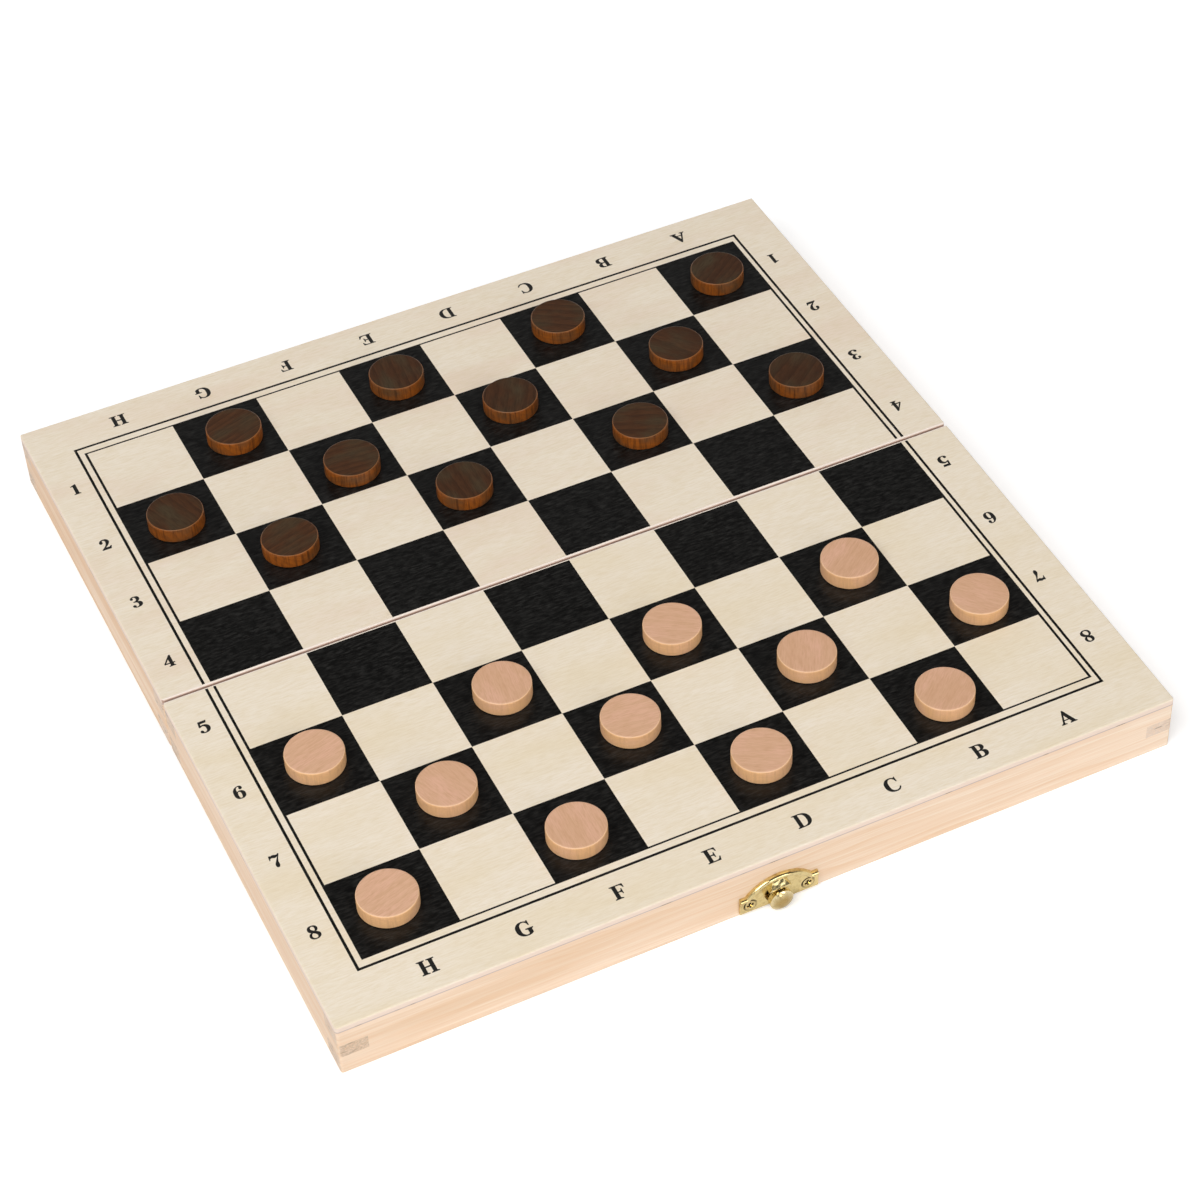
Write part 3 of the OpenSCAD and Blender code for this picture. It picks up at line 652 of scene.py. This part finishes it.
# Outlines of the capitals and digits, as points on a grid. A bar starts the next contour,
# and ~ marks a point where the outline runs on smoothly.
GLYPHS = {
    "A": "0,0 34,0 34,4 23,9 29,27 61,27 69,9 57,4 57,0 102,0 102,4 93,9 56,102 49,102 12,10"
         " 0,4 | 31,33 59,33 45,70",
    "B": "0,0 52,0 76,6~ 87,28~ 79,46~ 60,52 73,59~ 81,75~ 71,94~ 49,100 0,100 0,96 12,91"
         " 12,9 0,4 | 34,55 34,94 43,94 54,88~ 58,75~ 54,61~ 43,55 | 34,6 34,49 45,49 58,42~"
         " 62,28~ 58,12~ 45,6",
    "C": "84,101 84,66 80,66 71,87~ 54,95~ 36,86~ 28,50~ 36,14~ 56,6~ 72,11~ 85,26 90,22"
         " 76,4~ 52,-2~ 17,10~ 2,50~ 17,90~ 50,102~ 66,99~ 76,94 80,101",
    "D": "0,0 46,0 72,5~ 91,22~ 98,50~ 91,78~ 72,95~ 46,100 0,100 0,96 12,91 12,9 0,4 | 34,6"
         " 34,94 46,94 62,87~ 71,70~ 73,50~ 71,30~ 62,13~ 46,6",
    "E": "0,0 78,0 85,28 80,29 69,11~ 54,6 34,6 34,47 45,47 54,43~ 57,32 61,32 61,68 57,68"
         " 54,57~ 45,53 34,53 34,94 54,94 66,90~ 75,73 79,74 77,100 0,100 0,96 12,91 12,9 0,4",
    "F": "0,0 48,0 48,4 34,9 34,46 45,46 54,42~ 57,31 61,31 61,68 57,68 54,57~ 45,52 34,52"
         " 34,94 54,94 66,90~ 75,73 79,74 77,100 0,100 0,96 12,91 12,9 0,4",
    "G": "84,101 84,66 80,66 71,87~ 54,95~ 36,86~ 28,50~ 36,13~ 56,5~ 67,9 67,37 55,41 55,46"
         " 99,46 99,41 89,37 89,10 73,1~ 52,-2~ 17,10~ 2,50~ 17,90~ 50,102~ 66,99~ 76,94"
         " 80,101",
    "H": "0,0 45,0 45,4 34,9 34,46 67,46 67,9 56,4 56,0 101,0 101,4 89,9 89,91 101,96 101,100"
         " 56,100 56,96 67,91 67,54 34,54 34,91 45,96 45,100 0,100 0,96 12,91 12,9 0,4",
    "1": "2,0 48,0 48,4 37,9 37,102 33,102 0,88 0,83 15,85 15,9 2,4",
    "2": "0,0 60,0 68,27 63,28 55,19 25,19 50,44~ 64,73~ 54,95~ 34,102~ 12,95~ 1,73~ 11,62~"
         " 22,72~ 20,88~ 30,94~ 39,86~ 41,68~ 32,40~ 0,5",
    "3": "1,14~ 11,24~ 22,14~ 20,5~ 29,4~ 40,11~ 43,28~ 35,44~ 16,48 16,54 31,58~ 39,76~"
         " 34,92~ 25,96~ 19,92~ 21,82~ 12,74~ 3,82~ 11,97~ 32,102~ 53,96~ 61,77~ 53,60~ 42,52"
         " 58,46~ 68,27~ 58,6~ 32,-2~ 10,2~",
    "4": "24,0 64,0 64,5 56,9 56,25 67,25 67,33 56,33 56,102 48,102 0,33 0,25 35,25 35,9"
         " 24,5 | 35,33 10,33 35,70",
    "5": "8,100 60,100 54,82 18,82 15,64 34,68~ 59,58~ 68,32~ 57,7~ 31,-2~ 9,2~ 0,14~ 10,24~"
         " 20,15~ 20,5~ 29,4~ 40,12~ 44,32~ 37,54~ 24,58~ 8,51 3,53",
    "6": "62,83~ 52,73~ 42,82~ 45,94~ 36,97~ 26,88~ 23,56 38,64~ 60,56~ 69,31~ 59,6~ 34,-2~"
         " 10,7~ 0,44~ 11,86~ 37,102~ 57,98~ | 34,57~ 25,48~ 23,30~ 26,10~ 35,3~ 43,10~"
         " 46,30~ 43,50~",
    "7": "0,66 4,66 10,80~ 20,82~ 38,76~ 56,84 36,50~ 22,12~ 33,-2~ 44,10~ 46,46~ 66,96"
         " 66,101 61,101 52,95~ 30,101~ 14,96 10,101 3,100",
    "8": "33,102~ 56,95~ 64,77~ 58,61~ 46,54 62,44~ 69,26~ 59,6~ 33,-2~ 9,5~ 0,24~ 6,42~"
         " 20,51 8,59~ 3,76~ 11,95~ | 34,96~ 24,90~ 22,78~ 32,65~ 40,58 46,66~ 48,78~ 44,91~ |"
         " 27,46 18,38~ 14,24~ 20,9~ 34,4~ 46,9~ 49,20~ 43,34~",
}


def glyph_mesh(character, film, bold):
    """A printed character of unit height, centred on its own box, as a thin closed film.
    Bold is how far the ink spreads past the outline."""
    curve = bpy.data.curves.new("outline_" + character, "CURVE")
    curve.dimensions = "2D"
    curve.fill_mode = "BOTH"
    curve.resolution_u = 4
    curve.extrude = film
    curve.offset = bold
    contours = [c.split() for c in GLYPHS[character].split("|")]
    across = [float(p.strip("~").split(",")[0]) for c in contours for p in c]
    middle = (min(across) + max(across)) / 2
    for contour in contours:
        spline = curve.splines.new("BEZIER")
        spline.bezier_points.add(len(contour) - 1)
        spline.use_cyclic_u = True
        for point, text in zip(spline.bezier_points, contour):
            x, y = (float(v) for v in text.strip("~").split(","))
            point.co = ((x - middle) / GLYPH_HEIGHT,
                        (y - GLYPH_HEIGHT / 2) / GLYPH_HEIGHT, 0)
            kind = "AUTO" if text.endswith("~") else "VECTOR"
            point.handle_left_type = kind
            point.handle_right_type = kind
    holder = bpy.data.objects.new("outline_" + character, curve)
    bpy.context.scene.collection.objects.link(holder)
    dependencies = bpy.context.evaluated_depsgraph_get()
    mesh = bpy.data.meshes.new_from_object(holder.evaluated_get(dependencies))
    bpy.data.objects.remove(holder)
    bpy.data.curves.remove(curve)
    return mesh


def rule_mesh(name, side, s):
    """Thin strips of ink that run past the fine rules at both sides of the squares."""
    mesh = bpy.data.meshes.new(name)
    shape = bmesh.new()
    near_fold = side * RULE_START
    far_end = side * (FOLD_STRIP + GRID + RULE_WIDTH)
    for edge in (-1, 1):
        inner = PRINT_X + edge * (GRID + RULE_WIDTH)
        place = Matrix.Translation((inner + edge * s.rule_spread / 2,
                                    (near_fold + far_end) / 2, s.panel_top))
        size = Matrix.Diagonal((s.rule_spread, abs(far_end - near_fold), 2 * s.ink_film, 1))
        bmesh.ops.create_cube(shape, size=1, matrix=place @ size)
    shape.to_mesh(mesh)
    shape.free()
    return mesh


def row_tree():
    """A tree that adds a run of characters at an even pitch to what it gets."""
    tree = bpy.data.node_groups.new("character_row", "GeometryNodeTree")
    sockets = (("Geometry", "NodeSocketGeometry"), ("Characters", "NodeSocketCollection"),
               ("Material", "NodeSocketMaterial"), ("Count", "NodeSocketInt"),
               ("First", "NodeSocketInt"), ("Start", "NodeSocketVector"),
               ("Step", "NodeSocketVector"), ("Turn", "NodeSocketVector"),
               ("Height", "NodeSocketFloat"))
    for name, kind in sockets:
        tree.interface.new_socket(name, in_out="INPUT", socket_type=kind)
    tree.interface.new_socket("Geometry", in_out="OUTPUT", socket_type="NodeSocketGeometry")
    given = tree.nodes.new("NodeGroupInput").outputs
    line = node(tree, "GeometryNodeMeshLine",
                {"Count": given["Count"], "Start Location": given["Start"],
                 "Offset": given["Step"]}, mode="OFFSET")
    cast = node(tree, "GeometryNodeCollectionInfo",
                {"Collection": given["Characters"], "Separate Children": True,
                 "Reset Children": True})
    place = tree.nodes.new("GeometryNodeInputIndex")
    which = node(tree, "ShaderNodeMath", {0: place.outputs[0], 1: given["First"]},
                 operation="ADD")
    stamped = node(tree, "GeometryNodeInstanceOnPoints",
                   {"Points": line.outputs[0], "Instance": cast.outputs[0],
                    "Pick Instance": True, "Instance Index": which.outputs[0],
                    "Rotation": given["Turn"], "Scale": given["Height"]})
    solid = node(tree, "GeometryNodeRealizeInstances", {0: stamped.outputs[0]})
    inked = node(tree, "GeometryNodeSetMaterial",
                 {"Geometry": solid.outputs[0], "Material": given["Material"]})
    joined = tree.nodes.new("GeometryNodeJoinGeometry")
    tree.links.new(given["Geometry"], joined.inputs[0])
    tree.links.new(inked.outputs[0], joined.inputs[0])
    result = tree.nodes.new("NodeGroupOutput")
    tree.links.new(joined.outputs[0], result.inputs[0])
    return tree


def set_inputs(modifier, values):
    """Sets a modifier's inputs by the identifier of the socket with each name."""
    for item in modifier.node_group.interface.items_tree:
        if item.in_out == "INPUT" and item.name in values:
            modifier[item.identifier] = values[item.name]


def screen_ink(s):
    """The ink of the letters and digits."""
    # Black screen ink: a matt film, browner where it lies thin on the raised grain
    material, tree, output = new_material("screen_ink")
    place = node(tree, "ShaderNodeTexCoord")
    # Threads of the veneer under the ink, about 0.35 mm wide
    threads = node(tree, "ShaderNodeTexNoise",
                   {"Vector": scaled(tree, place.outputs["Object"],
                                     (8 * MM, 0.35 * MM, 0.35 * MM)),
                    "Scale": 1, "Detail": 2})
    wear = node(tree, "ShaderNodeMapRange",
                {"Value": threads.outputs["Fac"], "From Min": 0.4, "From Max": 0.8,
                 "To Max": 0.25})
    tone = blend_colours(tree, wear.outputs[0], s.ink, s.ink_worn)
    shader = node(tree, "ShaderNodeBsdfPrincipled",
                  {"Base Color": tone, "Roughness": 0.55, "IOR": 1.5})
    tree.links.new(shader.outputs[0], output.inputs["Surface"])
    return material


def character_runs(s, side):
    """The runs of characters on one half: for each its name, set, number of characters, first
    character, place of the first, step to the next, turn and height."""
    # The letters go from A on the right to H on the left
    letters_y = side * (FOLD_STRIP + GRID + s.letter_row)
    yield ("letters", "letters", 8, 0, (PRINT_X + 3.5 * SQUARE, letters_y), (-SQUARE, 0),
           0 if side < 0 else math.pi, s.letter_height)
    # The digits go from 1 at the far edge to 8 at the near one
    first_y = FOLD_STRIP + 3.5 * SQUARE if side > 0 else -FOLD_STRIP - 0.5 * SQUARE
    for edge, name in ((-1, "left"), (1, "right")):
        x = PRINT_X - s.digit_shift + edge * (GRID + s.digit_row)
        yield (name + "_digits", "digits", 4, 0 if side > 0 else 4, (x, first_y), (0, -SQUARE),
               0 if edge < 0 else math.pi, s.digit_height)


class BOARD_OT_print_coordinates(bpy.types.Operator):
    """Prints the letters and digits round the squares"""
    bl_idname = "board.print_coordinates"
    bl_label = "Print coordinates"

    def execute(self, context):
        s = context.scene.board_print
        ink = screen_ink(s)
        casts = {}
        for key, characters, height in (("letters", "ABCDEFGH", s.letter_height),
                                        ("digits", "12345678", s.digit_height)):
            casts[key] = bpy.data.collections.new("printed_" + key)
            for c in characters:
                outline = glyph_mesh(c, s.ink_film / height, s.ink_spread / height)
                casts[key].objects.link(bpy.data.objects.new("character_" + c, outline))
        rows = row_tree()
        for half, side in (("near", -1), ("far", 1)):
            rules = rule_mesh(half + "_coordinates", side, s)
            rules.materials.append(ink)
            holder = bpy.data.objects.new(half + "_coordinates", rules)
            context.scene.collection.objects.link(holder)
            for name, cast, count, first, start, step, turn, height in character_runs(s, side):
                modifier = holder.modifiers.new(name, "NODES")
                modifier.node_group = rows
                set_inputs(modifier, {"Characters": casts[cast], "Material": ink,
                                      "Count": count, "First": first,
                                      "Start": (*start, s.panel_top), "Step": (*step, 0),
                                      "Turn": (0, 0, turn), "Height": height})
            evaluated = holder.evaluated_get(context.evaluated_depsgraph_get())
            mesh = bpy.data.meshes.new_from_object(evaluated)
            holder.modifiers.clear()
            if len(mesh.polygons) == 0:
                raise RuntimeError("the coordinates came out empty")
            mesh.transform(Matrix.Translation((0, 0, FOLD_Z))
                           @ Matrix.Rotation(-side * DROOP, 4, "X")
                           @ Matrix.Translation((0, 0, HALF_RIM_GAP)))
            holder.data = mesh
            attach(holder, half + "_half")
        for cast in casts.values():
            for glyph in list(cast.objects):
                bpy.data.objects.remove(glyph)
            bpy.data.collections.remove(cast)
        return {"FINISHED"}


def white_paper(s):
    """The floor's material."""
    # Matt white paper: it keeps the shadow and reads as white to the camera, also where it
    # runs away from the lamps
    material, tree, output = new_material("white_paper")
    shade = node(tree, "ShaderNodeBsdfDiffuse", {"Color": (*s.paper, 1)})
    place = node(tree, "ShaderNodeTexCoord")
    away = node(tree, "ShaderNodeVectorMath", {0: place.outputs["Object"]}, operation="LENGTH")
    lifted = node(tree, "ShaderNodeMapRange",
                  {"Value": away.outputs["Value"], "From Min": s.near_reach,
                   "From Max": s.far_reach, "To Min": s.floor_lift, "To Max": s.far_lift})
    ray = node(tree, "ShaderNodeLightPath")
    seen = node(tree, "ShaderNodeMath", {0: ray.outputs["Is Camera Ray"],
                                         1: lifted.outputs[0]}, operation="MULTIPLY")
    lift = node(tree, "ShaderNodeEmission", {"Strength": seen.outputs[0]})
    total = node(tree, "ShaderNodeAddShader", {0: shade.outputs[0], 1: lift.outputs[0]})
    tree.links.new(total.outputs[0], output.inputs["Surface"])
    return material


def soft_room(s):
    """The light all round: a white room whose ceiling is dark in reflections."""
    world = bpy.data.worlds.new("soft_room")
    world.use_nodes = True
    tree = world.node_tree
    tree.nodes.clear()
    ray = node(tree, "ShaderNodeLightPath")
    # Reflections see white walls up to a dark ceiling, so black print stays black
    aim = node(tree, "ShaderNodeSeparateXYZ",
               {0: tree.nodes.new("ShaderNodeTexCoord").outputs["Generated"]})
    walls = node(tree, "ShaderNodeMapRange",
                 {"Value": aim.outputs["Z"], "From Min": 0.15, "From Max": 0.55,
                  "To Min": 1, "To Max": s.ceiling})
    mirrored = node(tree, "ShaderNodeMath", {0: ray.outputs["Is Glossy Ray"],
                                             1: ray.outputs["Is Transmission Ray"]},
                    operation="MAXIMUM")
    # A mix of numbers takes them at sockets 2 and 3
    lit = node(tree, "ShaderNodeMix", {0: mirrored.outputs[0], 2: s.ambient,
                                       3: walls.outputs[0]})
    level = node(tree, "ShaderNodeMix", {0: ray.outputs["Is Camera Ray"],
                                         2: lit.outputs[0], 3: 1})
    sky = node(tree, "ShaderNodeBackground", {"Color": (1, 1, 1, 1),
                                              "Strength": level.outputs[0]})
    output = tree.nodes.new("ShaderNodeOutputWorld")
    tree.links.new(sky.outputs[0], output.inputs[0])
    return world


class BOARD_OT_set_stage(bpy.types.Operator):
    """Sets the floor, the soft lamps and the camera"""
    bl_idname = "board.set_stage"
    bl_label = "Set stage"

    def execute(self, context):
        s = context.scene.board_stage
        half = s.floor_size / 2
        mesh = bpy.data.meshes.new("studio_floor")
        mesh.from_pydata([(-half, -half, 0), (half, -half, 0), (half, half, 0),
                          (-half, half, 0)], [], [(0, 1, 2, 3)])
        floor = bpy.data.objects.new("studio_floor", mesh)
        context.scene.collection.objects.link(floor)
        mesh.materials.append(white_paper(s))
        context.scene.world = soft_room(s)

        # Each lamp's place and side in metres, and its power
        lamps = (("key_lamp", (-1.3, -0.87, 2), 1.7, s.key_power),
                 ("fill_lamp", (0.6, -2, 0.95), 1.2, s.fill_power))
        for name, place, size, power in lamps:
            light = bpy.data.lights.new(name, "AREA")
            light.size = size
            light.energy = power
            lamp = bpy.data.objects.new(name, light)
            lamp.location = place
            lamp.rotation_euler = (-Vector(place)).to_track_quat("-Z", "Y").to_euler()
            context.scene.collection.objects.link(lamp)

        camera = bpy.data.objects.new("camera", bpy.data.cameras.new("camera"))
        camera.data.sensor_width = SENSOR_WIDTH
        camera.data.lens = s.lens
        camera.data.shift_x, camera.data.shift_y = CAMERA_SHIFT
        camera.data.clip_start = 50 * MM
        camera.location = CAMERA_PLACE
        camera.rotation_euler = CAMERA_TURN
        context.scene.collection.objects.link(camera)
        context.scene.camera = camera
        context.scene.view_settings.view_transform = "Standard"
        return {"FINISHED"}


class BOARD_PT_sidebar(bpy.types.Panel):
    """Lists the steps that dress the board"""
    bl_label = "Game board"
    bl_idname = "BOARD_PT_sidebar"
    bl_space_type = "VIEW_3D"
    bl_region_type = "UI"
    bl_category = "Game board"

    def draw(self, context):
        for step in STEPS:
            self.layout.operator(step.bl_idname)


STEPS = (BOARD_OT_finish_panels, BOARD_OT_finish_rails, BOARD_OT_finish_checkers,
         BOARD_OT_finish_brass, BOARD_OT_print_coordinates, BOARD_OT_set_stage)
SETTINGS = (("board_print", BoardPrintSettings), ("board_wood", BoardWoodSettings),
            ("board_checkers", BoardCheckerSettings), ("board_brass", BoardBrassSettings),
            ("board_stage", BoardStageSettings))


def register():
    """Registers the settings, the steps and the panel."""
    for name, group in SETTINGS:
        bpy.utils.register_class(group)
        setattr(bpy.types.Scene, name, bpy.props.PointerProperty(type=group))
    for step in STEPS:
        bpy.utils.register_class(step)
    bpy.utils.register_class(BOARD_PT_sidebar)


def unregister():
    """Takes the panel, the steps and the settings away again."""
    bpy.utils.unregister_class(BOARD_PT_sidebar)
    for step in reversed(STEPS):
        bpy.utils.unregister_class(step)
    for name, group in reversed(SETTINGS):
        delattr(bpy.types.Scene, name)
        bpy.utils.unregister_class(group)


def main():
    """Dresses the board and sets the stage."""
    register()
    bpy.ops.board.finish_panels()
    bpy.ops.board.finish_rails()
    bpy.ops.board.finish_checkers()
    bpy.ops.board.finish_brass()
    bpy.ops.board.print_coordinates()
    bpy.ops.board.set_stage()


if __name__ == "__main__":
    main()
